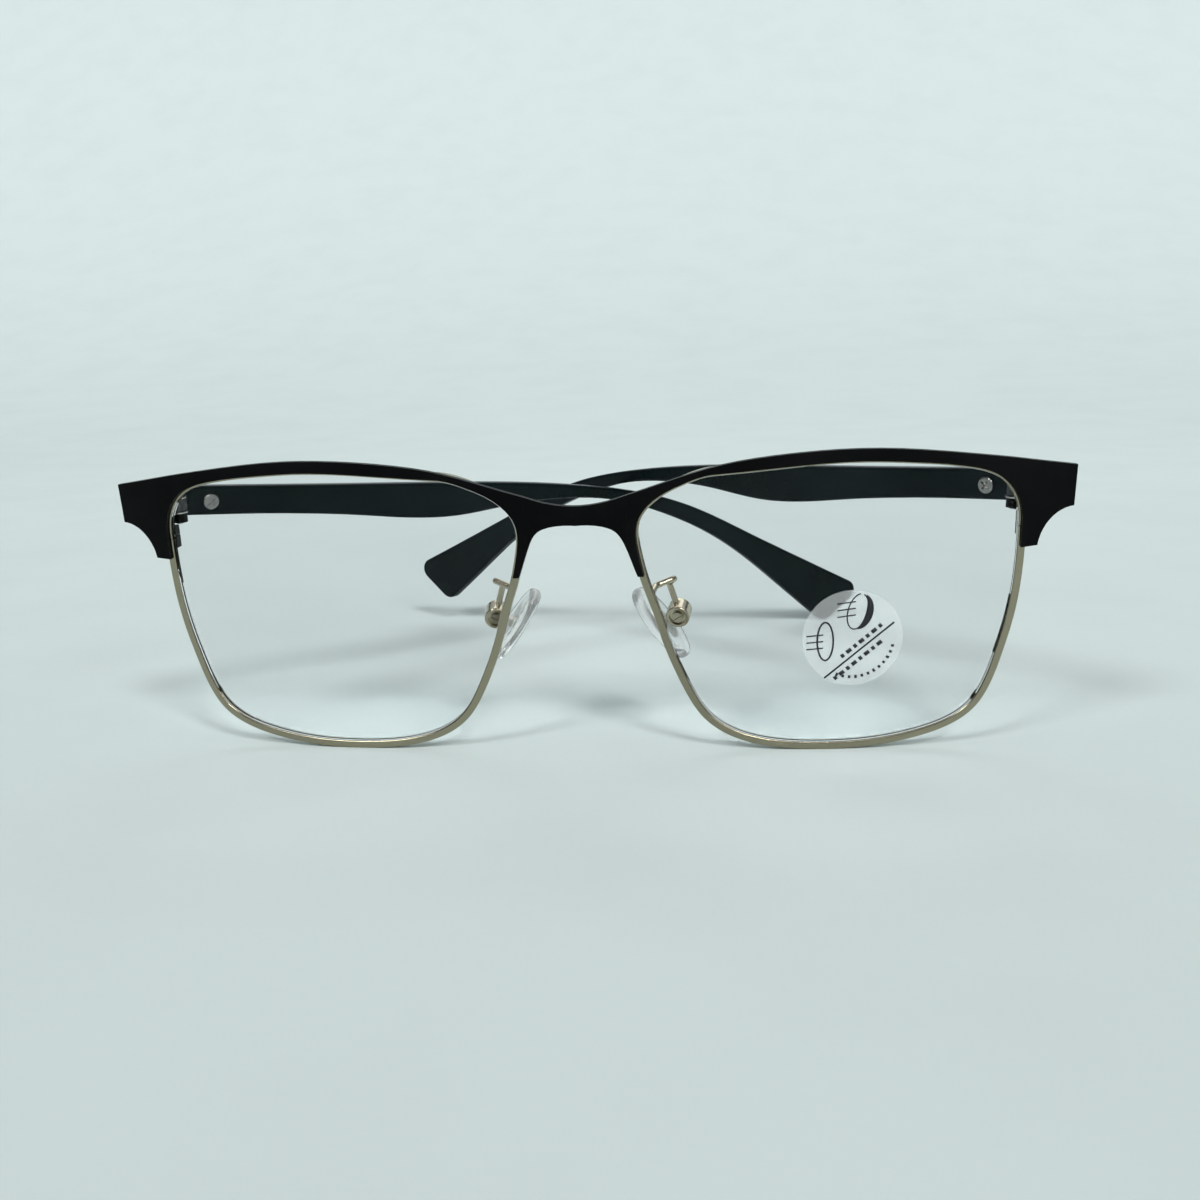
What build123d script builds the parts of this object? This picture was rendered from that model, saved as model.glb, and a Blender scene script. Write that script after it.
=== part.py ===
from build123d import *
import math
import os

# Eyeglasses with a half rim look, standing on a table with the temples folded part way.
# The front has its own frame: x runs to the wearer's left, y back to the wearer's ears and
# z up the front. x = 0 is the middle of the bridge and z = 0 is the top corner of the ends.
# side is -1 for the wearer's right and +1 for the wearer's left.

# ---- driving dimensions, millimetres and degrees ----
FRONT_LEAN = -5.0             # the front leans forward as it stands
FLOOR_DROP = 41.0             # top corner of the ends above the table
STAND_FORWARD = 48.1          # top corner of the ends in front of the middle of the whole
LENS_CURVE = 190.0            # plan radius of each half of the front
CURVE_MIDDLE = (24.2, 189.5)  # centre of that radius, x and y
BRIDGE_FORWARD = 0.45         # the flat of the bridge stands in front of its bends
BRIDGE_BEND = (4.6, 7.4)      # where each bend of the bridge starts and ends
PLATE = 0.9                   # thickness of the brow plate
RIM_DEPTH = 1.7               # front to back size of the eyewire
RIM_WIDTH = 1.15              # face width of the eyewire
RIM_STEPS = 36                # points around an outline grown from the eyewire's
LENS_DEPTH = (0.15, 1.55)     # front and back of the lens behind the face of the eyewire
BEVEL_DEPTH = (0.6, 1.1)      # the same for the bevel that sits in the groove
LENS_BEVEL = 0.45             # how far the bevel runs into the groove
LOCK_SPLIT = -8.45            # the eyewire is cut here, between the rim lock blocks
LOCK_BLOCK = (62.8, 65.8, 5.4, 7.4)   # x and y limits of the rim lock blocks
PIVOT = (62.9, 8.3)           # hinge pin, x and y
PIVOT_CANT = 1.4              # both hinge pins lean this far to the wearer's left
KNUCKLE_RADIUS = 1.15
KNUCKLE_TOP = (-1.15, -2.8)   # heights of the fixed knuckles and of the moving one
KNUCKLE_MIDDLE = (-3.03, -5.07)
KNUCKLE_LOW = (-5.3, -6.75)
WASHER_RADIUS = 1.35
PIN_RADIUS = 0.6
PIN_FIT = 0.05                # running clearance of the moving knuckle
LEAF = (2.4, 3.2)             # hinge plate of the front, out from the pin axis
FOLD_REST = {-1: 40.0, 1: 41.2}       # angle between each folded temple and the front
TEMPLE_THICK = 2.1
TEMPLE_INSIDE = 1.2           # inner face of the temple, out from the pin axis
TEMPLE_STRAIGHT = 56.0        # the temple is straight to here, then curves in
TEMPLE_CURVE = 364.0          # radius of that inward curve
TEMPLE_LEAF = (1.75, 2.55)    # hinge plate inside the temple, out from the pin axis
TEMPLE_SCREW = (5.4, -4.5)
PAD_MIDDLE = (11.3, 8.6, -24.0)
PAD_LENGTH = 13.4
PAD_WIDTH = 7.4
PAD_THICK = 1.9
PAD_SPLAY = 15.0              # the back edges of the pads stand apart
PAD_FLARE = 35.0              # the lower ends of the pads stand apart
PAD_PIN = 3.4                 # pad screw, out from the middle of the pad
BOX_RADIUS = 1.8
WIRE_RADIUS = 0.48
STICKER_MIDDLE = (39.4, -23.9)
STICKER_RADIUS = 7.2
STICKER_THICK = 0.12

SIDES = {"right": -1, "left": 1}

# ---- outlines of one half, seen from the front: x and z ----
RIM_INNER = [(20.0, 0.35), (28.0, 1.0), (40.0, 1.65), (50.0, 1.0), (57.5, -0.4),
             (61.3, -2.9), (62.45, -7.0), (62.5, -12.0), (61.75, -20.0), (59.75, -28.0),
             (56.3, -35.0), (50.0, -38.2), (41.0, -39.8), (33.0, -39.95), (25.0, -38.9),
             (19.3, -36.0), (15.5, -30.0), (13.1, -24.0), (11.3, -18.0), (9.9, -14.0),
             (9.1, -10.0), (9.05, -6.6), (10.9, -3.7), (15.0, -1.2)]
BROW_TOP = [(0.0, -3.5), (4.0, -3.05), (8.0, -1.95), (13.0, -0.3), (20.0, 1.8), (28.0, 3.1),
            (39.0, 3.75), (50.0, 3.1), (60.0, 1.75), (70.4, 0.0)]
BRIDGE_UNDER = [(0.0, -6.35), (3.4, -6.45), (5.6, -7.3), (7.1, -9.7), (8.0, -12.2),
                (8.7, -14.1)]
END_PIECE = [(70.2, -5.8), (67.6, -6.8), (66.0, -8.7), (65.2, -11.2)]
BROW_SHOWS_RIM = 0.35         # the eyewire shows this much inside the brow plate

# ---- temple outlines: along the temple from the pin, and height ----
TEMPLE_TOP = [(1.0, -1.5), (28.6, -4.7), (60.6, -8.5), (80.6, -11.9), (92.6, -15.0),
              (100.6, -18.2), (116.6, -26.8)]
TEMPLE_TIP = [(141.0, -40.1), (131.8, -46.85)]
TEMPLE_BOTTOM = [(118.0, -34.6), (104.6, -24.3), (92.6, -18.15), (80.6, -14.15),
                 (72.6, -12.95), (60.6, -12.55), (48.6, -13.0), (40.6, -12.25),
                 (28.6, -10.0), (12.6, -7.55), (1.0, -6.2)]

# ---- pad arm: centre line from the eyewire to the pad box ----
ARM_PATH = [(10.5, 1.72, -17.3), (10.9, 4.4, -16.9), (13.9, 6.0, -16.1), (12.7, 7.6, -17.3),
            (14.0, 7.9, -21.6)]
ARM_BENDS = (1.2, 0.7, 0.8)

BACK = Vector(0, math.cos(math.radians(FRONT_LEAN)), -math.sin(math.radians(FRONT_LEAN)))
UP = Vector(0, math.sin(math.radians(FRONT_LEAN)), math.cos(math.radians(FRONT_LEAN)))


def direction(x, y, z):
    """World direction of a direction in the front's frame."""
    return Vector(x, 0, 0) + BACK * y + UP * z


def at(x, y, z):
    """World point of a point in the front's frame."""
    return Vector(0, -STAND_FORWARD, FLOOR_DROP) + direction(x, y, z)


def plan(z):
    """Plane seen from above at height z: local x is x and local y is y."""
    return Plane(origin=at(0, 0, z), x_dir=(1, 0, 0), z_dir=UP)


def facing(y):
    """Plane seen from in front at depth y: local x is x and local y is z."""
    return Plane(origin=at(0, y, 0), x_dir=(1, 0, 0), z_dir=BACK * -1)


PIN_AXIS = direction(math.tan(math.radians(PIVOT_CANT)), 0, 1).normalized()


def pin_plane(side, z):
    """Plane across the hinge pin at height z: local x is x and local y is back."""
    origin = at(side * PIVOT[0], PIVOT[1], 0) + PIN_AXIS * z
    return Plane(origin=origin, x_dir=(1, 0, 0), z_dir=PIN_AXIS)


def temple_plan(side, z):
    """Plane across the pin: local x runs along the temple, local y square to it."""
    angle = math.radians(FOLD_REST[side])
    along = direction(-side * math.cos(angle), math.sin(angle), 0)
    along = (along - PIN_AXIS * along.dot(PIN_AXIS)).normalized()
    origin = at(side * PIVOT[0], PIVOT[1], 0) + PIN_AXIS * z
    return Plane(origin=origin, x_dir=along, z_dir=PIN_AXIS)


def temple_face(side, out):
    """Plane along the temple, out from the pin: local x is along and local y is up.

    Its normal points out of the left temple and into the right one."""
    flat = temple_plan(side, 0)
    normal = flat.y_dir * -1
    return Plane(origin=flat.origin + normal * (side * out), x_dir=flat.x_dir, z_dir=normal)


def pad_plane(side):
    """Middle plane of a nose pad: local x goes to its back edge and local y up it.

    Its normal points away from the nose on the left and to the nose on the right."""
    splay = math.radians(PAD_SPLAY)
    flare = math.radians(PAD_FLARE)
    length = direction(-side * math.sin(flare), -0.12, math.cos(flare)).normalized()
    across = direction(side * math.sin(splay), math.cos(splay), 0)
    across = (across - length * across.dot(length)).normalized()
    x, y, z = PAD_MIDDLE
    return Plane(origin=at(side * x, y, z), x_dir=across, z_dir=across.cross(length))


def pad_pin_plane(side):
    """Plane across the pad screw: local x is away from the nose, its normal is back."""
    flat = pad_plane(side)
    origin = flat.origin + flat.z_dir * (side * PAD_PIN)
    return Plane(origin=origin, x_dir=flat.z_dir * side, z_dir=flat.x_dir)


def surface_y(x):
    """Depth of the face of the eyewire, where the back of the brow plate lies."""
    return CURVE_MIDDLE[1] - math.sqrt(LENS_CURVE ** 2 - (abs(x) - CURVE_MIDDLE[0]) ** 2)


def for_side(points, side):
    return [(side * x, z) for x, z in points]


def brow_strip():
    """Plan outline of the sheet of the brow plate, over both halves and the bridge."""
    bend_in, bend_out = BRIDGE_BEND
    with BuildSketch() as outline:
        for side in (-1, 1):
            ends = []
            for depth in (-PLATE, 0.0):
                flat = surface_y(bend_out) - BRIDGE_FORWARD + depth
                arc = [(side * x, surface_y(x) + depth) for x in (bend_out, 36.0, 71.0)]
                with BuildLine():
                    Polyline((0, flat), (side * bend_in, flat), arc[0])
                    ThreePointArc(*arc)
                ends.append(((0, flat), arc[2]))
            with BuildLine():
                Line(ends[0][0], ends[1][0])
                Line(ends[0][1], ends[1][1])
            make_face()
    return outline.sketch


def lens_strip(side, front, back):
    """Plan outline of one half between two depths behind the face of the eyewire."""
    front_arc = [(side * x, surface_y(x) + front) for x in (6.0, 36.0, 67.0)]
    back_arc = [(side * x, surface_y(x) + back) for x in (6.0, 36.0, 67.0)]
    with BuildSketch() as outline:
        with BuildLine():
            ThreePointArc(*front_arc)
            ThreePointArc(*back_arc)
            Line(front_arc[0], back_arc[0])
            Line(front_arc[2], back_arc[2])
        make_face()
    return outline.sketch


def rim_outline(side, grow):
    """Outline of the inside of the eyewire, grown by some amount."""
    with BuildSketch() as outline:
        with BuildLine(mode=Mode.PRIVATE) as inside:
            Spline(*for_side(RIM_INNER, side), periodic=True)
        grown = []
        for step in range(RIM_STEPS):
            tangent = inside.line % (step / RIM_STEPS)
            outward = Vector(-tangent.Y, tangent.X) * side
            grown.append(inside.line @ (step / RIM_STEPS) + outward * grow)
        with BuildLine():
            Spline(*grown, periodic=True)
        make_face()
    return outline.sketch


def curved_disc(side, grow, depth):
    """Solid of the eyewire outline between two depths of the curved front."""
    with BuildPart() as disc:
        with BuildSketch(facing(-12.0)):
            add(rim_outline(side, grow))
        extrude(amount=-30.0)
        with BuildSketch(plan(-50.0)):
            add(lens_strip(side, *depth))
        extrude(amount=60.0, mode=Mode.INTERSECT)
    return disc.part


def on_pin(side, heights, radius):
    """Round solid on the axis of a hinge pin between two heights."""
    top, bottom = heights
    with BuildPart() as solid:
        with BuildSketch(pin_plane(side, bottom)):
            Circle(radius)
        extrude(amount=top - bottom)
    return solid.part


def save(piece, name):
    piece.part.label = name
    export_step(piece.part, f"parts/{name}.step")


os.makedirs("parts", exist_ok=True)

# ---- brow plate: one stamped sheet over both eyewires and the bridge ----
with BuildPart() as brow_plate:
    with BuildSketch(facing(-12.0)):
        for half in (-1, 1):
            top = for_side(BROW_TOP, half)
            under = for_side(BRIDGE_UNDER, half)
            end = for_side(END_PIECE, half)
            with BuildLine():
                Spline(*top, tangents=((half, 0), (half, -0.17)))
                Line(top[-1], end[0])
                Spline(*end)
                Polyline(end[-1], (half * 60.0, -11.6), (half * 14.0, -14.1), under[-1])
                Spline(*under)
                Line(under[0], top[0])
            make_face()
            add(rim_outline(half, BROW_SHOWS_RIM), mode=Mode.SUBTRACT)
    extrude(amount=-30.0)
    with BuildSketch(plan(-50.0)):
        add(brow_strip())
    extrude(amount=60.0, mode=Mode.INTERSECT)
save(brow_plate, "brow_plate")

for name, side in SIDES.items():
    # ---- eyewire: grooved ring, cut between the rim lock blocks ----
    with BuildPart() as eyewire:
        add(curved_disc(side, RIM_WIDTH, (0.0, RIM_DEPTH)))
        add(curved_disc(side, 0, (-1.0, RIM_DEPTH + 1.0)), mode=Mode.SUBTRACT)
        fillet(eyewire.edges().filter_by(lambda edge: edge.length > 100), radius=0.22)
        add(curved_disc(side, LENS_BEVEL, BEVEL_DEPTH), mode=Mode.SUBTRACT)
        with BuildSketch(plan(LOCK_SPLIT - 0.06)):
            with Locations((side * 63.0, 4.0)):
                Rectangle(4.0, 8.0)
        extrude(amount=0.12, mode=Mode.SUBTRACT)
    save(eyewire, f"{name}_eyewire")

    # ---- lens with a bevel that fills the groove ----
    with BuildPart() as lens:
        add(curved_disc(side, -0.02, LENS_DEPTH))
        add(curved_disc(side, LENS_BEVEL, BEVEL_DEPTH))
    save(lens, f"{name}_lens")

    # ---- hinge plate of the front: flat leaf with two knuckles ----
    with BuildPart() as front_hinge:
        with BuildSketch(pin_plane(side, KNUCKLE_LOW[1])):
            with Locations((side * (LEAF[0] + LEAF[1]) / 2, -1.4)):
                Rectangle(LEAF[1] - LEAF[0], 4.0)
        extrude(amount=KNUCKLE_TOP[0] - KNUCKLE_LOW[1])
        for top, bottom in (KNUCKLE_TOP, KNUCKLE_LOW):
            with BuildSketch(pin_plane(side, bottom)):
                Circle(KNUCKLE_RADIUS)
                with Locations((side * LEAF[1] / 2, -0.3)):
                    Rectangle(LEAF[1], 1.7)
            extrude(amount=top - bottom)
        add(on_pin(side, (0.0, -8.0), PIN_RADIUS + 0.01), mode=Mode.SUBTRACT)
    save(front_hinge, f"{name}_front_hinge")

    # ---- end piece: lug behind the brow plate that carries the hinge ----
    with BuildPart() as end_piece:
        wall = PIVOT[0] + LEAF[1] - 0.3
        rear = PIVOT[1] + 0.6
        face = [(side * x, surface_y(x)) for x in (wall, 68.0, 69.8)]
        with BuildSketch(plan(-6.1)):
            with BuildLine():
                ThreePointArc(*face)
                Polyline(face[2], (side * 69.8, surface_y(69.8) + 0.9),
                         (side * 67.4, surface_y(67.4) + 1.2), (side * 67.4, rear),
                         (side * wall, rear), face[0])
            make_face()
        extrude(amount=5.1)
        add(front_hinge.part, mode=Mode.SUBTRACT)
    save(end_piece, f"{name}_end_piece")

    # ---- washers and pin of the hinge ----
    for level, top in (("upper", KNUCKLE_TOP[1]), ("lower", KNUCKLE_LOW[0] + 0.2)):
        with BuildPart() as washer:
            add(on_pin(side, (top, top - 0.2), WASHER_RADIUS))
            add(on_pin(side, (top, top - 0.2), PIN_RADIUS + 0.01), mode=Mode.SUBTRACT)
        save(washer, f"{name}_{level}_hinge_washer")

    with BuildPart() as hinge_pin:
        add(on_pin(side, (KNUCKLE_TOP[0], KNUCKLE_LOW[1] - 0.25), PIN_RADIUS))
        add(on_pin(side, (KNUCKLE_TOP[0] + 0.5, KNUCKLE_TOP[0]), 1.0))
        with BuildSketch(pin_plane(side, KNUCKLE_TOP[0] + 0.5)):
            Rectangle(2.4, 0.3)
        extrude(amount=-0.25, mode=Mode.SUBTRACT)
    save(hinge_pin, f"{name}_hinge_pin")

    # ---- rim lock: two blocks across the cut in the eyewire, and their screw ----
    near, far, front, back = LOCK_BLOCK
    for level, bottom, height in (("upper", -8.38, 1.4), ("lower", -10.3, 1.78)):
        with BuildPart() as block:
            with BuildSketch(plan(bottom)):
                with Locations((side * (near + far) / 2, (front + back) / 2)):
                    RectangleRounded(far - near, back - front, 0.4)
            extrude(amount=height)
            with BuildSketch(plan(bottom)):
                with Locations((side * 64.3, 6.4)):
                    Circle(0.46)
            extrude(amount=height, mode=Mode.SUBTRACT)
        save(block, f"{name}_{level}_rim_lock")

    with BuildPart() as lock_screw:
        with BuildSketch(plan(-10.3)):
            with Locations((side * 64.3, 6.4)):
                Circle(0.45)
        extrude(amount=3.2)
        with BuildSketch(plan(-10.3)):
            with Locations((side * 64.3, 6.4)):
                Circle(0.85)
        extrude(amount=-0.6)
        with BuildSketch(plan(-10.9)):
            with Locations((side * 64.3, 6.4)):
                Rectangle(2.0, 0.28)
        extrude(amount=0.3, mode=Mode.SUBTRACT)
    save(lock_screw, f"{name}_rim_lock_screw")

    # ---- hinge plate of the temple, set into it from the front end ----
    with BuildPart() as temple_hinge:
        with BuildSketch(temple_plan(side, KNUCKLE_MIDDLE[1])):
            Circle(KNUCKLE_RADIUS)
            with BuildLine():
                Polyline((0, -side * 1.1), (0.95, -side * 1.6),
                         (0.95, -side * TEMPLE_LEAF[1]), (1.6, -side * TEMPLE_LEAF[1]),
                         (1.6, -side * 0.9), (0.9, side * 0.5), (0, side * 1.1), close=True)
            make_face()
        extrude(amount=KNUCKLE_MIDDLE[0] - KNUCKLE_MIDDLE[1])
        with BuildSketch(temple_face(side, TEMPLE_LEAF[0])):
            with Locations((6.3, -4.4)):
                RectangleRounded(10.2, 2.4, 0.6)
        extrude(amount=side * (TEMPLE_LEAF[1] - TEMPLE_LEAF[0]))
        add(on_pin(side, (0.0, -8.0), PIN_RADIUS + PIN_FIT), mode=Mode.SUBTRACT)
        with BuildSketch(temple_face(side, 0.0)):
            with Locations(TEMPLE_SCREW):
                Circle(0.61)
        extrude(amount=side * 4.0, mode=Mode.SUBTRACT)
    save(temple_hinge, f"{name}_temple_hinge")

    # ---- temple: flat arm that narrows, drops behind the ear and ends in a paddle ----
    with BuildPart() as temple:
        with BuildSketch(temple_face(side, -30.0)):
            with BuildLine():
                Spline(*TEMPLE_TOP, tangents=((1, -0.115), (1, -0.54)))
                Polyline(TEMPLE_TOP[-1], *TEMPLE_TIP, TEMPLE_BOTTOM[0])
                Spline(*TEMPLE_BOTTOM, tangents=((-1, 0.88), (-1, 0.116)))
                Line(TEMPLE_BOTTOM[-1], TEMPLE_TOP[0])
            make_face()
        extrude(amount=side * 60.0)
        along = Axis(temple_plan(side, 0).origin, temple_plan(side, 0).x_dir)
        fillet(temple.edges().filter_by(lambda edge: edge.length > 59.9)
               .sort_by(along)[-2:], radius=2.4)
        with BuildSketch(temple_plan(side, -55.0)):
            inner = -side * TEMPLE_INSIDE
            outer = -side * (TEMPLE_INSIDE + TEMPLE_THICK)
            reach = 100.0
            drop = TEMPLE_CURVE - math.sqrt(TEMPLE_CURVE ** 2 - reach ** 2)
            half_drop = TEMPLE_CURVE - math.sqrt(TEMPLE_CURVE ** 2 - (reach / 2) ** 2)
            for_inner = [(TEMPLE_STRAIGHT, inner), (TEMPLE_STRAIGHT + reach / 2,
                         inner + side * half_drop), (TEMPLE_STRAIGHT + reach, inner + side * drop)]
            for_outer = [(x, y + outer - inner) for x, y in for_inner]
            with BuildLine():
                Line((0, inner), for_inner[0])
                ThreePointArc(*for_inner)
                Line((0, outer), for_outer[0])
                ThreePointArc(*for_outer)
                Line((0, inner), (0, outer))
                Line(for_inner[2], for_outer[2])
            make_face()
        extrude(amount=60.0, mode=Mode.INTERSECT)
        fillet(temple.edges().filter_by(lambda edge: edge.length > 5), radius=0.5)
        with BuildSketch(temple_face(side, TEMPLE_LEAF[0] - 0.02)):
            with Locations((5.8, -4.4)):
                RectangleRounded(11.3, 2.5, 0.65)
        extrude(amount=side * (TEMPLE_LEAF[1] - TEMPLE_LEAF[0] + 0.04), mode=Mode.SUBTRACT)
        with BuildSketch(temple_plan(side, KNUCKLE_MIDDLE[1] - 0.05)):
            with Locations((1.0, -side * 1.6)):
                Rectangle(1.6, 2.0)
        extrude(amount=KNUCKLE_MIDDLE[0] - KNUCKLE_MIDDLE[1] + 0.1, mode=Mode.SUBTRACT)
        with BuildSketch(temple_face(side, 0.0)):
            with Locations(TEMPLE_SCREW):
                Circle(0.61)
        extrude(amount=side * 3.05, mode=Mode.SUBTRACT)
        with BuildSketch(temple_face(side, 0.0)):
            with Locations(TEMPLE_SCREW):
                Circle(1.3)
        extrude(amount=side * (TEMPLE_INSIDE + 0.3), mode=Mode.SUBTRACT)
    save(temple, f"{name}_temple")

    # ---- cross head screw that holds the hinge plate in the temple ----
    with BuildPart() as temple_screw:
        with BuildSketch(temple_face(side, TEMPLE_INSIDE - 0.25)):
            with Locations(TEMPLE_SCREW):
                Circle(1.25)
        extrude(amount=side * 0.55)
        fillet(temple_screw.edges().filter_by(GeomType.CIRCLE).sort_by(
            Axis(temple_face(side, 0).origin, temple_face(side, 0).z_dir * side))[0], radius=0.2)
        with BuildSketch(temple_face(side, TEMPLE_INSIDE)):
            with Locations(TEMPLE_SCREW):
                Circle(0.6)
        extrude(amount=side * 1.8)
        with BuildSketch(temple_face(side, TEMPLE_INSIDE - 0.25)):
            with Locations(TEMPLE_SCREW):
                with Locations(Rotation(0, 0, 35)):
                    Rectangle(1.5, 0.32)
                    Rectangle(0.32, 1.5)
        extrude(amount=side * 0.35, mode=Mode.SUBTRACT)
    save(temple_screw, f"{name}_temple_screw")

    # ---- pad box: short barrel with a slot that takes the eye of the pad ----
    with BuildPart() as pad_box:
        with BuildSketch(pad_pin_plane(side).offset(-1.5)):
            Circle(BOX_RADIUS)
        extrude(amount=3.0)
        fillet(pad_box.edges().filter_by(GeomType.CIRCLE), radius=0.25)
        with BuildSketch(pad_pin_plane(side).offset(-0.72)):
            with Locations((-1.0, 0)):
                Rectangle(4.3, 2.9)
        extrude(amount=1.44, mode=Mode.SUBTRACT)
        with BuildSketch(pad_pin_plane(side).offset(-2.0)):
            Circle(0.46)
        extrude(amount=4.0, mode=Mode.SUBTRACT)
        with BuildSketch(pad_pin_plane(side).offset(-1.5)):
            Circle(1.3)
        extrude(amount=0.45, mode=Mode.SUBTRACT)
    save(pad_box, f"{name}_pad_box")

    with BuildPart() as pad_screw:
        with BuildSketch(pad_pin_plane(side).offset(-1.5)):
            Circle(0.45)
        extrude(amount=3.0)
        with BuildSketch(pad_pin_plane(side).offset(-1.6)):
            Circle(0.85)
        extrude(amount=0.55)
        with BuildSketch(pad_pin_plane(side).offset(-1.6)):
            Rectangle(2.2, 0.3)
        extrude(amount=0.25, mode=Mode.SUBTRACT)
    save(pad_screw, f"{name}_pad_screw")

    # ---- pad arm: bent wire from the back of the eyewire to the pad box ----
    with BuildPart() as pad_arm:
        with BuildLine() as arm_line:
            FilletPolyline(*[at(side * x, y, z) for x, y, z in ARM_PATH],
                           radius=ARM_BENDS)
        with BuildSketch(Plane(origin=arm_line.line @ 0, z_dir=arm_line.line % 0)):
            Circle(WIRE_RADIUS)
        sweep()
        with BuildSketch(pad_pin_plane(side).offset(-1.5)):
            Circle(BOX_RADIUS)
        extrude(amount=3.0, mode=Mode.SUBTRACT)
    save(pad_arm, f"{name}_pad_arm")

    # ---- pad mount: plate inside the pad with an eye on the pad screw ----
    with BuildPart() as pad_mount:
        with BuildSketch(pad_plane(side).offset(side * 0.2)):
            SlotOverall(6.4, 2.6, rotation=90)
        extrude(amount=side * 0.5)
        with BuildSketch(pad_pin_plane(side).offset(-0.65)):
            Circle(0.95)
            with Locations((-1.45, 0)):
                Rectangle(2.9, 1.2)
        extrude(amount=1.3)
        with BuildSketch(pad_pin_plane(side).offset(-2.0)):
            Circle(0.45 + PIN_FIT)
        extrude(amount=4.0, mode=Mode.SUBTRACT)
    save(pad_mount, f"{name}_pad_mount")

    # ---- nose pad: soft rounded leaf around the mount ----
    with BuildPart() as nose_pad:
        with BuildSketch(pad_plane(side).offset(-PAD_THICK / 2)):
            Ellipse(PAD_WIDTH / 2, PAD_LENGTH / 2)
        extrude(amount=PAD_THICK)
        fillet(nose_pad.edges(), radius=0.8)
        add(pad_mount.part, mode=Mode.SUBTRACT)
    save(nose_pad, f"{name}_nose_pad")

# ---- round demonstration sticker on the left lens ----
with BuildPart() as lens_sticker:
    with BuildSketch(facing(-12.0)):
        with Locations(STICKER_MIDDLE):
            Circle(STICKER_RADIUS)
    extrude(amount=-30.0)
    with BuildSketch(plan(-50.0)):
        add(lens_strip(1, LENS_DEPTH[0] - STICKER_THICK, LENS_DEPTH[0]))
    extrude(amount=60.0, mode=Mode.INTERSECT)
save(lens_sticker, "lens_sticker")
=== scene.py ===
import math

import bmesh
import bpy
from mathutils import Matrix, Vector


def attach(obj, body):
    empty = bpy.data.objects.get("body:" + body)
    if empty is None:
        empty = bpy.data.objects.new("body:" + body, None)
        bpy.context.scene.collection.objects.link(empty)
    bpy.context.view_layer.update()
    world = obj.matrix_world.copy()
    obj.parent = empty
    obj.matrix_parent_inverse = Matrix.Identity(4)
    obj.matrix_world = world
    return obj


bl_info = {
    "name": "Half rim eyeglasses",
    "version": (1, 0, 0),
    "blender": (4, 5, 0),
    "location": "3D View > Sidebar > Eyeglasses",
    "description": "Finishes the eyeglasses piece by piece around their packed frame",
    "category": "Object",
}

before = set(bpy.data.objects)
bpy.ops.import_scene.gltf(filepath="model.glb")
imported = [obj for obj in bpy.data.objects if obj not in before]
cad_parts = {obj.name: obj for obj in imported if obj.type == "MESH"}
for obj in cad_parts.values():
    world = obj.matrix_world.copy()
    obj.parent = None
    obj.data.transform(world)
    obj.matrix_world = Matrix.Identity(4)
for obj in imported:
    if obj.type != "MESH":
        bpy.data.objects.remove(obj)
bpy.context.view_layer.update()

SIDES = {"right": -1, "left": 1}
MM = 0.001

# ---- the front's own frame: x to the wearer's left, y back, z up the front ----
FRONT_LEAN = math.radians(-5.0)
FRONT_TOP = Vector((0.0, -48.1, 41.0))
BACK = Vector((0.0, math.cos(FRONT_LEAN), -math.sin(FRONT_LEAN)))
UP = Vector((0.0, math.sin(FRONT_LEAN), math.cos(FRONT_LEAN)))
CURVE_MIDDLE = (24.2, 189.5)
LENS_CURVE = 190.0


def direction(x, y, z):
    return Vector((x, 0.0, 0.0)) + BACK * y + UP * z


def at(x, y, z):
    """Point of the front's frame, in metres."""
    return (FRONT_TOP + direction(x, y, z)) * MM


def surface_y(x):
    """Depth of the lens face, in mm, on its large curve."""
    return CURVE_MIDDLE[1] - math.sqrt(LENS_CURVE ** 2 - (abs(x) - CURVE_MIDDLE[0]) ** 2)


# ---- sizes and colours a user would change ----
def length(name, text, value):
    return bpy.props.FloatProperty(name=name, description=text, default=value * MM,
                                   unit="LENGTH", subtype="DISTANCE", precision=5)


def colour(name, text, value):
    return bpy.props.FloatVectorProperty(name=name, description=text, default=value, size=3,
                                         min=0.0, max=1.0, subtype="COLOR")


class FrontSizes(bpy.types.PropertyGroup):
    plate_edge: length("Plate edge", "Rounding along the edges of the brow plate", 0.13)
    block_edge: length("Block edge", "Rounding along the edges of hinge blocks", 0.12)
    plate_colour: colour("Plate", "Paint of the brow plate", (0.0007, 0.0007, 0.0009))
    # Second plate colour: rubbed paint, plus a painted highlight along the plate's sharp edges.
    plate_rub_and_highlight: colour("Plate sheen", "Paint where it is rubbed", (0.004, 0.004, 0.0045))
    rim_colour: colour("Eyewire", "Plating of the eyewires", (0.33, 0.30, 0.215))


class LensSizes(bpy.types.PropertyGroup):
    tint: colour("Tint", "Colour of the lens material", (0.915, 0.915, 0.925))
    mark_width: length("Mark width", "Width of the printed lines of the sticker", 0.26)
    mark_colour: colour("Marks", "Ink of the sticker", (0.003, 0.0035, 0.005))


class PadSizes(bpy.types.PropertyGroup):
    metal: colour("Pad metal", "Plating of the pad arms and boxes", (0.50, 0.45, 0.34))
    silicone: colour("Silicone", "Colour of the soft pads", (0.93, 0.94, 0.935))


class TempleSizes(bpy.types.PropertyGroup):
    plastic: colour("Temple", "Plastic of the temples", (0.0013, 0.0044, 0.0046))
    plastic_light: colour("Temple light", "Plastic where it catches dust",
                          (0.006, 0.012, 0.014))


class StageSizes(bpy.types.PropertyGroup):
    floor_colour: colour("Floor", "Paper that the glasses stand on", (0.55, 0.625, 0.62))
    key_power: bpy.props.FloatProperty(name="Key power", description="Strength of the main soft light",
                                       default=1.66, min=0.0)


def settings():
    return bpy.context.scene


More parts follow.
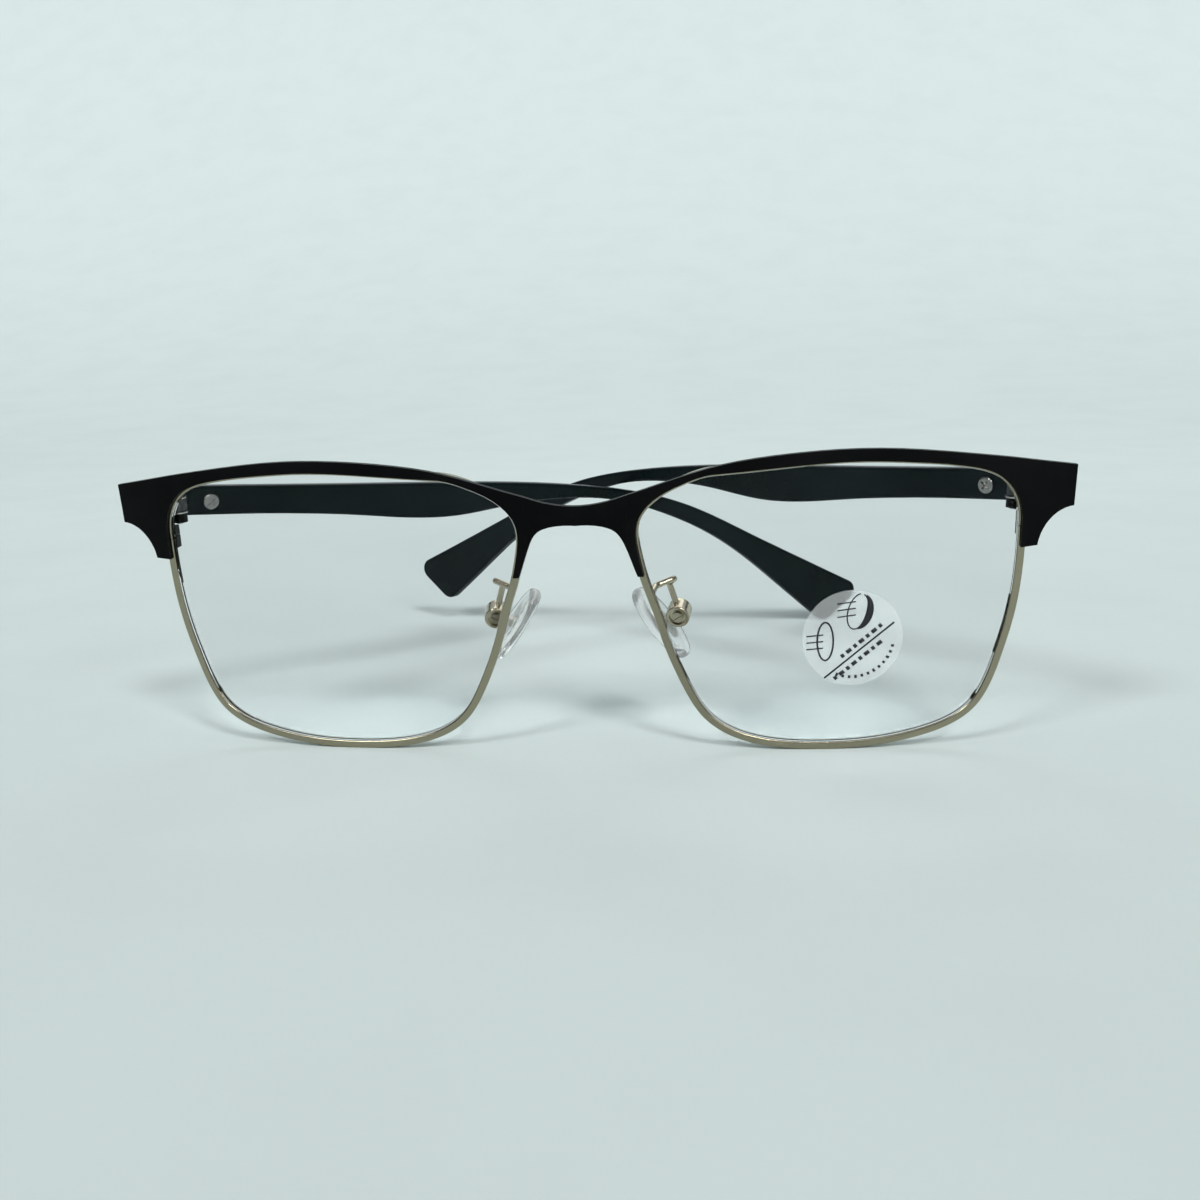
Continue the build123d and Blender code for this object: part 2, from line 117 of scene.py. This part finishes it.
# ---- node groups that several finishes share ----
DUST_SCALE = 1500.0
DUST_START, DUST_GAIN = 0.56, 6.0
# Sharp edges take the second colour: rubbed wear, plus a painted highlight along the edges.
EDGE_WEAR_AND_HIGHLIGHT_START, EDGE_WEAR_AND_HIGHLIGHT_GAIN = 0.53, 5.0
DRIFT_START, DRIFT_GAIN = 0.42, 2.4
GRAIN_SHARE, DRIFT_SHARE = 0.6, 0.4
SMEAR_START, SMEAR_GAIN = 0.5, 2.0
SMEAR_TURN = (0.0, 0.7, 0.0)
SMEAR_STRETCH = (0.35, 1.0, 2.4)
BUMP_DEPTH = 0.02 * MM


def new_group(name, inputs, outputs):
    group = bpy.data.node_groups.new(name, "ShaderNodeTree")
    for label, kind, value in inputs:
        socket = group.interface.new_socket(label, in_out="INPUT", socket_type=kind)
        socket.default_value = value
    for label, kind in outputs:
        group.interface.new_socket(label, in_out="OUTPUT", socket_type=kind)
    return group, group.nodes.new("NodeGroupInput"), group.nodes.new("NodeGroupOutput")


def math_node(tree, operation, first, second=None, clamp=False):
    node = tree.nodes.new("ShaderNodeMath")
    node.operation = operation
    node.use_clamp = clamp
    for socket, value in zip(node.inputs, (first, second)):
        if value is None:
            continue
        if isinstance(value, (int, float)):
            socket.default_value = value
        else:
            tree.links.new(value, socket)
    return node.outputs[0]


def above(tree, value, start, gain):
    """Mask of what lies over a start value."""
    return math_node(tree, "MULTIPLY", math_node(tree, "SUBTRACT", value, start, True), gain, True)


def noise_node(tree, vector, scale, detail=4.0, roughness=0.55):
    node = tree.nodes.new("ShaderNodeTexNoise")
    node.inputs["Detail"].default_value = detail
    node.inputs["Roughness"].default_value = roughness
    tree.links.new(vector, node.inputs["Vector"])
    if isinstance(scale, (int, float)):
        node.inputs["Scale"].default_value = scale
    else:
        tree.links.new(scale, node.inputs["Scale"])
    return node.outputs["Fac"]


def make_surface_group():
    """Fine grain, slow colour drift, dust, and rubbed edges with a painted edge highlight, of a made
    surface.
    """
    colour_kind, value_kind = "NodeSocketColor", "NodeSocketFloat"
    group, given, out = new_group(
        "made_surface",
        [("Main", colour_kind, (0.5, 0.5, 0.5, 1)), ("Second", colour_kind, (0.5, 0.5, 0.5, 1)),
         ("Drift Scale", value_kind, 60.0), ("Grain Scale", value_kind, 4000.0),
         ("Roughness Low", value_kind, 0.3), ("Roughness High", value_kind, 0.4),
         ("Dust", value_kind, 0.1)],
        [("Color", colour_kind), ("Roughness", value_kind), ("Height", value_kind)])
    place = group.nodes.new("ShaderNodeTexCoord").outputs["Object"]
    drift = noise_node(group, place, given.outputs["Drift Scale"])
    grain = noise_node(group, place, given.outputs["Grain Scale"], 2.0)
    dust = noise_node(group, place, DUST_SCALE, 6.0, 0.7)
    specks = above(group, dust, DUST_START, DUST_GAIN)
    specks = math_node(group, "MULTIPLY", specks, given.outputs["Dust"])
    # Pointiness mask: rubbed edge wear plus a painted highlight where edges would catch the light.
    edge = group.nodes.new("ShaderNodeNewGeometry").outputs["Pointiness"]
    wear_and_highlight = above(group, edge, EDGE_WEAR_AND_HIGHLIGHT_START, EDGE_WEAR_AND_HIGHLIGHT_GAIN)
    share = above(group, drift, DRIFT_START, DRIFT_GAIN)
    share = math_node(group, "ADD", share, specks, True)
    share = math_node(group, "ADD", share, wear_and_highlight, True)
    mix = group.nodes.new("ShaderNodeMix")
    mix.data_type = "RGBA"
    group.links.new(share, mix.inputs["Factor"])
    group.links.new(given.outputs["Main"], mix.inputs["A"])
    group.links.new(given.outputs["Second"], mix.inputs["B"])
    spread = group.nodes.new("ShaderNodeMapRange")
    uneven = math_node(group, "ADD", math_node(group, "MULTIPLY", grain, GRAIN_SHARE),
                       math_node(group, "MULTIPLY", drift, DRIFT_SHARE))
    group.links.new(uneven, spread.inputs["Value"])
    spread.inputs["From Min"].default_value = 0.3
    spread.inputs["From Max"].default_value = 0.7
    group.links.new(given.outputs["Roughness Low"], spread.inputs["To Min"])
    group.links.new(given.outputs["Roughness High"], spread.inputs["To Max"])
    group.links.new(mix.outputs["Result"], out.inputs["Color"])
    group.links.new(spread.outputs["Result"], out.inputs["Roughness"])
    group.links.new(math_node(group, "ADD", grain, math_node(group, "MULTIPLY", specks, 0.5)),
                    out.inputs["Height"])
    return group


def make_smear_group():
    """Faint finger marks and wiping streaks on a polished clear surface."""
    colour_kind, value_kind = "NodeSocketColor", "NodeSocketFloat"
    group, given, out = new_group(
        "clear_smears",
        [("Main", colour_kind, (1, 1, 1, 1)), ("Second", colour_kind, (0.9, 0.9, 0.9, 1)),
         ("Scale", value_kind, 70.0), ("Amount", value_kind, 0.05)],
        [("Color", colour_kind), ("Roughness", value_kind)])
    place = group.nodes.new("ShaderNodeTexCoord").outputs["Object"]
    streak = group.nodes.new("ShaderNodeMapping")
    streak.inputs["Rotation"].default_value = SMEAR_TURN
    streak.inputs["Scale"].default_value = SMEAR_STRETCH
    group.links.new(place, streak.inputs["Vector"])
    wipe = noise_node(group, streak.outputs["Vector"], given.outputs["Scale"], 5.0, 0.6)
    mask = above(group, wipe, SMEAR_START, SMEAR_GAIN)
    mix = group.nodes.new("ShaderNodeMix")
    mix.data_type = "RGBA"
    group.links.new(mask, mix.inputs["Factor"])
    group.links.new(given.outputs["Main"], mix.inputs["A"])
    group.links.new(given.outputs["Second"], mix.inputs["B"])
    group.links.new(mix.outputs["Result"], out.inputs["Color"])
    group.links.new(math_node(group, "MULTIPLY", mask, given.outputs["Amount"]),
                    out.inputs["Roughness"])
    return group


def shared_group(name):
    if name in bpy.data.node_groups:
        return bpy.data.node_groups[name]
    return {"made_surface": make_surface_group, "clear_smears": make_smear_group}[name]()


def rgba(value):
    return (*value, 1.0)


def surface(name, main, second, rough, grain=4000.0, drift=60.0, dust=0.1, bump=0.2,
            metallic=0.0, **shader_values):
    """Opaque finish: paint, plating, steel or plastic."""
    made = bpy.data.materials.new(name)
    made.use_nodes = True
    tree = made.node_tree
    shader = tree.nodes["Principled BSDF"]
    group = tree.nodes.new("ShaderNodeGroup")
    group.node_tree = shared_group("made_surface")
    given = {"Main": rgba(main), "Second": rgba(second), "Grain Scale": grain,
             "Drift Scale": drift, "Roughness Low": rough[0], "Roughness High": rough[1],
             "Dust": dust}
    for label, value in given.items():
        group.inputs[label].default_value = value
    tree.links.new(group.outputs["Color"], shader.inputs["Base Color"])
    tree.links.new(group.outputs["Roughness"], shader.inputs["Roughness"])
    raised = tree.nodes.new("ShaderNodeBump")
    raised.inputs["Strength"].default_value = bump
    raised.inputs["Distance"].default_value = BUMP_DEPTH
    tree.links.new(group.outputs["Height"], raised.inputs["Height"])
    tree.links.new(raised.outputs["Normal"], shader.inputs["Normal"])
    shader.inputs["Metallic"].default_value = metallic
    for label, value in shader_values.items():
        shader.inputs[label.replace("_", " ")].default_value = value
    return made


def clear(name, main, second, ior, amount, shadow, transmission=1.0, base_rough=0.0,
          gloss=0.5):
    """Clear finish that lets most of the light through its shadow."""
    made = bpy.data.materials.new(name)
    made.use_nodes = True
    tree = made.node_tree
    shader = tree.nodes["Principled BSDF"]
    group = tree.nodes.new("ShaderNodeGroup")
    group.node_tree = shared_group("clear_smears")
    group.inputs["Main"].default_value = rgba(main)
    group.inputs["Second"].default_value = rgba(second)
    group.inputs["Amount"].default_value = amount
    tree.links.new(group.outputs["Color"], shader.inputs["Base Color"])
    tree.links.new(math_node(tree, "ADD", group.outputs["Roughness"], base_rough),
                   shader.inputs["Roughness"])
    shader.inputs["IOR"].default_value = ior
    shader.inputs["Transmission Weight"].default_value = transmission
    shader.inputs["Specular IOR Level"].default_value = gloss
    through = tree.nodes.new("ShaderNodeBsdfTransparent")
    through.inputs["Color"].default_value = rgba(shadow)
    ray = tree.nodes.new("ShaderNodeLightPath")
    blend = tree.nodes.new("ShaderNodeMixShader")
    tree.links.new(ray.outputs["Is Shadow Ray"], blend.inputs["Fac"])
    tree.links.new(shader.outputs["BSDF"], blend.inputs[1])
    tree.links.new(through.outputs["BSDF"], blend.inputs[2])
    tree.links.new(blend.outputs["Shader"], tree.nodes["Material Output"].inputs["Surface"])
    return made


def paint_nodes(names, made, edge=0.0, smooth=30.0):
    """Gives CAD nodes a finish, and rounds their sharp edges."""
    for name in names:
        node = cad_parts[name]
        for slot in node.material_slots:
            slot.material = made
        if not node.material_slots:
            node.data.materials.append(made)
        if edge:
            rounding = node.modifiers.new("rounded_edges", "BEVEL")
            rounding.width = edge
            rounding.segments = 2
            rounding.limit_method = "ANGLE"
            rounding.angle_limit = math.radians(smooth)
            rounding.harden_normals = False


def both(*names):
    """The named nodes of the right side and of the left side."""
    return [f"{side}_{name}" for side in SIDES for name in names]


def new_piece(name, mesh_maker, made, body):
    """Makes an added piece, and fixes it to one body of the frame."""
    mesh = bpy.data.meshes.new(name)
    built = bmesh.new()
    mesh_maker(built)
    bmesh.ops.recalc_face_normals(built, faces=built.faces)
    built.to_mesh(mesh)
    built.free()
    for face in mesh.polygons:
        face.use_smooth = True
    piece = bpy.data.objects.new(name, mesh)
    bpy.context.scene.collection.objects.link(piece)
    mesh.materials.append(made)
    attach(piece, body)
    return piece


# ---- finishes of the small parts, each with its duller second colour ----
TURNED_STEEL = ((0.72, 0.71, 0.69), (0.5, 0.49, 0.47))
SCREW_STEEL = ((0.40, 0.39, 0.375), (0.2, 0.2, 0.195))
PAD_CORE = ((0.7, 0.68, 0.62), (0.55, 0.54, 0.5))
HINGE_PLATE = ((0.008, 0.008, 0.009), (0.05, 0.05, 0.052))
STICKER_FILM = ((0.93, 0.95, 0.95), (0.84, 0.87, 0.87))
SILICONE_DULL = (0.86, 0.88, 0.875)
LENS_SHADOW = (0.82, 0.84, 0.84)
FILM_SHADOW = (0.84, 0.86, 0.86)
PAD_SHADOW = (0.78, 0.8, 0.8)


# ---- pieces ----
class EYEGLASSES_OT_front(bpy.types.Operator):
    """Paint the brow plate, end pieces and hinge blocks, and plate the eyewires"""
    bl_idname = "eyeglasses.front"
    bl_label = "Front"

    def execute(self, context):
        sizes = settings().front_sizes
        # The lighter second colour also goes on the sharp edges as a painted edge highlight.
        paint = surface("satin_black_paint", sizes.plate_colour, sizes.plate_rub_and_highlight, (0.3, 0.42),
                        dust=0.2, bump=0.12, Specular_IOR_Level=0.05)
        paint_nodes(["brow_plate"] + both("end_piece"), paint, sizes.plate_edge)
        block = surface("black_block_paint", sizes.plate_colour, sizes.plate_rub_and_highlight, (0.35, 0.5),
                        dust=0.15, Specular_IOR_Level=0.15)
        paint_nodes(both("front_hinge", "upper_rim_lock", "lower_rim_lock"), block,
                    sizes.block_edge)
        dulled = tuple(0.8 * part for part in sizes.rim_colour)
        plating = surface("champagne_plating", sizes.rim_colour, dulled, (0.2, 0.28),
                          grain=2500.0, dust=0.04, bump=0.05, metallic=1.0)
        paint_nodes(both("eyewire"), plating)
        steel = surface("turned_steel", *TURNED_STEEL, (0.2, 0.35), metallic=1.0)
        paint_nodes(both("upper_hinge_washer", "lower_hinge_washer", "hinge_pin",
                         "rim_lock_screw"), steel)
        return {"FINISHED"}


class EYEGLASSES_OT_lenses(bpy.types.Operator):
    """Give the lenses clear polished glass with faint wiping streaks"""
    bl_idname = "eyeglasses.lenses"
    bl_label = "Lenses"

    def execute(self, context):
        sizes = settings().lens_sizes
        worn = tuple(0.97 * part for part in sizes.tint)
        glass = clear("clear_lens", sizes.tint, worn, 1.1, 0.02, LENS_SHADOW, gloss=0.2)
        paint_nodes(both("lens"), glass)
        return {"FINISHED"}


FILM_FACE = 0.028
INK_DEPTHS = (-0.03, -0.06)
STICKER_MIDDLE = (39.4, -23.9)
DIVIDER = ((-4.0, -6.0), (0.9, -1.9), (5.9, 2.2))
DASH_ROWS = ((1.15, 0.30, 7), (-1.3, 0.12, 8))
DASH_PITCH = 0.09
RIM_RADIUS = 5.9
RIM_DASHES = 12
RIM_START, RIM_PITCH = -112, 9.0


def arc_points(middle, radii, start, end, tilt=0.0, steps=24):
    """Points of an oval's arc; radii in mm, angles in degrees."""
    points = []
    for step in range(steps + 1):
        angle = math.radians(start + (end - start) * step / steps)
        x = radii[0] * math.cos(angle)
        z = radii[1] * math.sin(angle)
        turn = math.radians(tilt)
        points.append((middle[0] + x * math.cos(turn) - z * math.sin(turn),
                       middle[1] + x * math.sin(turn) + z * math.cos(turn)))
    return points


def ink_line(built, points, widths, middle):
    """Flat printed stroke just above the face of the sticker."""
    rows = []
    count = len(points)
    for index, (x, z) in enumerate(points):
        before = points[max(index - 1, 0)]
        after = points[min(index + 1, count - 1)]
        along = Vector((after[0] - before[0], after[1] - before[1])).normalized()
        side = Vector((-along.y, along.x))
        share = index / max(count - 1, 1)
        half = 0.5 * (widths[0] + (widths[1] - widths[0]) * math.sin(math.pi * share))
        row = []
        for depth in INK_DEPTHS:
            for sign in (1, -1):
                px = middle[0] + x + side.x * half * sign
                pz = middle[1] + z + side.y * half * sign
                row.append(built.verts.new(at(px, surface_y(px) + FILM_FACE + depth, pz)))
        rows.append((row[0], row[1], row[3], row[2]))
    for first, second in zip(rows, rows[1:]):
        for corner in range(4):
            following = (corner + 1) % 4
            built.faces.new((first[corner], first[following], second[following],
                             second[corner]))
    built.faces.new(rows[0])
    built.faces.new(rows[-1][::-1])


class EYEGLASSES_OT_sticker(bpy.types.Operator):
    """Clear round film on the left lens with plain printed marks"""
    bl_idname = "eyeglasses.sticker"
    bl_label = "Sticker"

    def stroke(self, built, points, start_width, middle_width):
        ink_line(built, points, (start_width, middle_width), STICKER_MIDDLE)

    def ovals(self, built, width):
        thin = width * 0.7
        self.stroke(built, arc_points((-3.9, -0.4), (1.15, 2.9), 0, 360), width, width)
        for height in (-1.0, 0.0, 1.0):
            self.stroke(built, [(-6.6, height - 0.6), (-4.2, height - 0.4)], thin, thin)
        self.stroke(built, arc_points((0.7, 4.0), (1.4, 2.7), 100, 440, -14), thin, thin)
        self.stroke(built, arc_points((0.9, 4.0), (1.5, 2.6), -75, 75, -14), width, 4 * width)
        for height in (-1.0, 0.0, 1.0):
            self.stroke(built, [(-2.2, 4.2 + height), (0.4, 4.5 + height)], thin, thin)

    def dashes(self, built, width):
        for shift, begin, count in DASH_ROWS:
            for step in range(count):
                share = begin + step * DASH_PITCH
                x = -4.0 + 9.9 * share + 0.64 * -shift * 0.5
                z = -6.0 + 8.2 * share + 0.77 * shift
                slant = 0.32 if step % 2 else 0.2
                self.stroke(built, [(x - slant, z - slant * 0.8), (x + slant, z + slant * 0.85)],
                            width * 2.2, width * 3.2)

    def rim_dashes(self, built, width):
        for step in range(RIM_DASHES):
            angle = math.radians(RIM_START + step * RIM_PITCH)
            x, z = RIM_RADIUS * math.cos(angle), RIM_RADIUS * math.sin(angle)
            reach = 0.42 if step % 3 else 0.5
            self.stroke(built, [(x * (1 - reach / 12), z * (1 - reach / 12)),
                                (x * (1 + reach / 12), z * (1 + reach / 12))],
                        width * 1.4, width * 2.2)

    def marks(self, built, width):
        self.stroke(built, DIVIDER, width, width)
        self.ovals(built, width)
        self.dashes(built, width)
        self.rim_dashes(built, width)

    def execute(self, context):
        sizes = settings().lens_sizes
        film = clear("sticker_film", *STICKER_FILM, 1.45, 0.2, FILM_SHADOW, 0.88, 0.05)
        paint_nodes(["lens_sticker"], film)
        faded = tuple(3 * part for part in sizes.mark_colour)
        ink = surface("printed_ink", sizes.mark_colour, faded, (0.5, 0.65), dust=0.1)
        new_piece("sticker_marks", lambda built: self.marks(built, sizes.mark_width / MM), ink,
                  "front")
        return {"FINISHED"}


class EYEGLASSES_OT_temples(bpy.types.Operator):
    """Give the temples their dark satin plastic, their hinge plates and screws"""
    bl_idname = "eyeglasses.temples"
    bl_label = "Temples"

    def execute(self, context):
        sizes = settings().temple_sizes
        plastic = surface("temple_plastic", sizes.plastic, sizes.plastic_light, (0.24, 0.36),
                          grain=3000.0, drift=45.0, dust=0.3, bump=0.15,
                          Specular_IOR_Level=0.11)
        paint_nodes(both("temple"), plastic)
        block = surface("hinge_plate_paint", *HINGE_PLATE, (0.35, 0.5), dust=0.2)
        paint_nodes(both("temple_hinge"), block, 0.1 * MM)
        steel = surface("screw_steel", *SCREW_STEEL, (0.16, 0.28), metallic=1.0)
        paint_nodes(both("temple_screw"), steel, 0.03 * MM)
        return {"FINISHED"}


class EYEGLASSES_OT_pads(bpy.types.Operator):
    """Plate the pad arms and boxes, and make the pads of clear silicone"""
    bl_idname = "eyeglasses.pads"
    bl_label = "Nose pads"

    def execute(self, context):
        sizes = settings().pad_sizes
        dulled = tuple(0.72 * part for part in sizes.metal)
        plating = surface("pale_gold_plating", sizes.metal, dulled, (0.14, 0.26), dust=0.15,
                          bump=0.1, metallic=1.0)
        paint_nodes(both("pad_arm", "pad_screw"), plating)
        paint_nodes(both("pad_box"), plating, 0.06 * MM)
        core = surface("pad_core_steel", *PAD_CORE, (0.3, 0.45), metallic=1.0)
        paint_nodes(both("pad_mount"), core)
        silicone = clear("clear_silicone", sizes.silicone, SILICONE_DULL, 1.41, 0.25,
                         PAD_SHADOW, 0.92, 0.12)
        paint_nodes(both("nose_pad"), silicone)
        return {"FINISHED"}


FLOOR_FRONT, FLOOR_HALF_WIDTH = -2.5, 4.0
BEND_START, BEND_RADIUS, BEND_STEPS = 0.5, 1.5, 18
WALL_TOP = 3.5
SUNS = (
    # name, toward, angle in degrees, share of the key power, tint
    ("key", (0.42, -0.8, 0.85), 13.0, 1.0, (1.0, 0.995, 0.985)),
    ("fill", (-0.5, -0.72, 0.8), 15.0, 0.85, (0.98, 0.995, 1.0)),
    ("low", (0.55, -0.75, 0.42), 12.0, 0.3, (1.0, 1.0, 0.99)),
)
REAR_PLACE, REAR_TARGET = (0.0, 0.45, 0.5), (0, -0.06, 0.0)
REAR_SIZE, REAR_POWER, REAR_TINT = (0.5, 0.15), 0.5, (1.0, 1.0, 0.99)
ROOM_STRENGTH = 0.24
ROOM_RAMP = ((0.05, (0.16, 0.17, 0.175, 1.0)), (0.75, (0.97, 0.99, 1.0, 1.0)))
CAMERA_PLACE = (23.895, -225.66, 60.10)
CAMERA_RIGHT = (0.99372, 0.10717, -0.03231)
CAMERA_FORWARD = (-0.11146, 0.97387, -0.19785)
FOCAL_LENGTH, SENSOR_WIDTH = 37.80, 36.0
FRAMING_SHIFT = (-0.0022, -0.0022)


class EYEGLASSES_OT_stage(bpy.types.Operator):
    """Pale paper floor, soft lights and the camera"""
    bl_idname = "eyeglasses.stage"
    bl_label = "Stage"

    def floor(self, sizes):
        mesh = bpy.data.meshes.new("floor")
        built = bmesh.new()
        rows = []
        profile = [(FLOOR_FRONT, 0.0), (BEND_START, 0.0)]
        for step in range(1, BEND_STEPS + 1):
            angle = math.radians(90.0 * step / BEND_STEPS)
            profile.append((BEND_START + BEND_RADIUS * math.sin(angle),
                            BEND_RADIUS - BEND_RADIUS * math.cos(angle)))
        profile.append((BEND_START + BEND_RADIUS, WALL_TOP))
        for y, z in profile:
            rows.append([built.verts.new((x, y, z))
                         for x in (-FLOOR_HALF_WIDTH, FLOOR_HALF_WIDTH)])
        for low, high in zip(rows, rows[1:]):
            built.faces.new((low[0], low[1], high[1], high[0]))
        built.to_mesh(mesh)
        built.free()
        for face in mesh.polygons:
            face.use_smooth = True
        sheet = bpy.data.objects.new("floor", mesh)
        bpy.context.scene.collection.objects.link(sheet)
        darker = tuple(0.955 * part for part in sizes.floor_colour)
        paper = surface("floor_paper", sizes.floor_colour, darker, (0.6, 0.75), grain=900.0,
                        drift=22.0, dust=0.0, bump=0.5, Specular_IOR_Level=0.3)
        mesh.materials.append(paper)

    def light(self, name, place, target, size, power, tint):
        lamp = bpy.data.lights.new(name, "AREA")
        lamp.shape = "RECTANGLE"
        lamp.size, lamp.size_y = size
        lamp.energy = power
        lamp.color = tint
        holder = bpy.data.objects.new(name, lamp)
        holder.location = place
        aim = Vector(target) - Vector(place)
        holder.rotation_euler = aim.to_track_quat("-Z", "Y").to_euler()
        bpy.context.scene.collection.objects.link(holder)

    def sun(self, name, toward, angle, power, tint):
        lamp = bpy.data.lights.new(name, "SUN")
        lamp.angle = math.radians(angle)
        lamp.energy = power
        lamp.color = tint
        holder = bpy.data.objects.new(name, lamp)
        holder.rotation_euler = Vector(toward).to_track_quat("Z", "Y").to_euler()
        bpy.context.scene.collection.objects.link(holder)

    def camera(self):
        lens = bpy.data.cameras.new("camera")
        lens.sensor_width = SENSOR_WIDTH
        lens.lens = FOCAL_LENGTH
        lens.shift_x, lens.shift_y = FRAMING_SHIFT
        lens.clip_start = 0.01
        lens.clip_end = 20.0
        holder = bpy.data.objects.new("camera", lens)
        right = Vector(CAMERA_RIGHT).normalized()
        forward = Vector(CAMERA_FORWARD).normalized()
        up = right.cross(forward).normalized()
        right = forward.cross(up).normalized()
        place = Matrix((right, up, -forward)).transposed().to_4x4()
        place.translation = Vector(CAMERA_PLACE) * MM
        holder.matrix_world = place
        bpy.context.scene.collection.objects.link(holder)
        bpy.context.scene.camera = holder

    def room(self):
        """Soft surroundings, darker below and paler above."""
        world = bpy.data.worlds.new("soft_room")
        world.use_nodes = True
        tree = world.node_tree
        back = tree.nodes["Background"]
        back.inputs["Strength"].default_value = ROOM_STRENGTH
        split = tree.nodes.new("ShaderNodeSeparateXYZ")
        tree.links.new(tree.nodes.new("ShaderNodeTexCoord").outputs["Generated"],
                       split.inputs["Vector"])
        ramp = tree.nodes.new("ShaderNodeValToRGB")
        for element, (position, shade) in zip(ramp.color_ramp.elements, ROOM_RAMP):
            element.position = position
            element.color = shade
        tree.links.new(split.outputs["Z"], ramp.inputs["Fac"])
        tree.links.new(ramp.outputs["Color"], back.inputs["Color"])
        bpy.context.scene.world = world

    def execute(self, context):
        sizes = settings().stage_sizes
        self.floor(sizes)
        for name, toward, angle, share, tint in SUNS:
            self.sun(name, toward, angle, share * sizes.key_power, tint)
        self.light("rear", REAR_PLACE, REAR_TARGET, REAR_SIZE, REAR_POWER, REAR_TINT)
        self.room()
        bpy.context.scene.view_settings.view_transform = "Standard"
        self.camera()
        return {"FINISHED"}


STEPS = (EYEGLASSES_OT_front, EYEGLASSES_OT_lenses, EYEGLASSES_OT_sticker,
         EYEGLASSES_OT_temples, EYEGLASSES_OT_pads, EYEGLASSES_OT_stage)
GROUPS = {"front_sizes": FrontSizes, "lens_sizes": LensSizes, "pad_sizes": PadSizes,
          "temple_sizes": TempleSizes, "stage_sizes": StageSizes}


class EYEGLASSES_PT_panel(bpy.types.Panel):
    """Lists the sizes, colours and steps of the eyeglasses"""
    bl_label = "Eyeglasses"
    bl_idname = "EYEGLASSES_PT_panel"
    bl_space_type = "VIEW_3D"
    bl_region_type = "UI"
    bl_category = "Eyeglasses"

    def draw(self, context):
        for label, group in GROUPS.items():
            box = self.layout.box()
            box.label(text=label.replace("_", " ").capitalize())
            for entry in group.__annotations__:
                box.prop(getattr(context.scene, label), entry)
        for step in STEPS:
            self.layout.operator(step.bl_idname)


CLASSES = (*GROUPS.values(), *STEPS, EYEGLASSES_PT_panel)


def register():
    for item in CLASSES:
        bpy.utils.register_class(item)
    for label, group in GROUPS.items():
        setattr(bpy.types.Scene, label, bpy.props.PointerProperty(type=group))


def unregister():
    for label in GROUPS:
        delattr(bpy.types.Scene, label)
    for item in reversed(CLASSES):
        bpy.utils.unregister_class(item)


def main():
    register()
    for step in STEPS:
        family, call = step.bl_idname.split(".")
        getattr(getattr(bpy.ops, family), call)()
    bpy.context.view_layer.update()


if __name__ == "__main__":
    main()
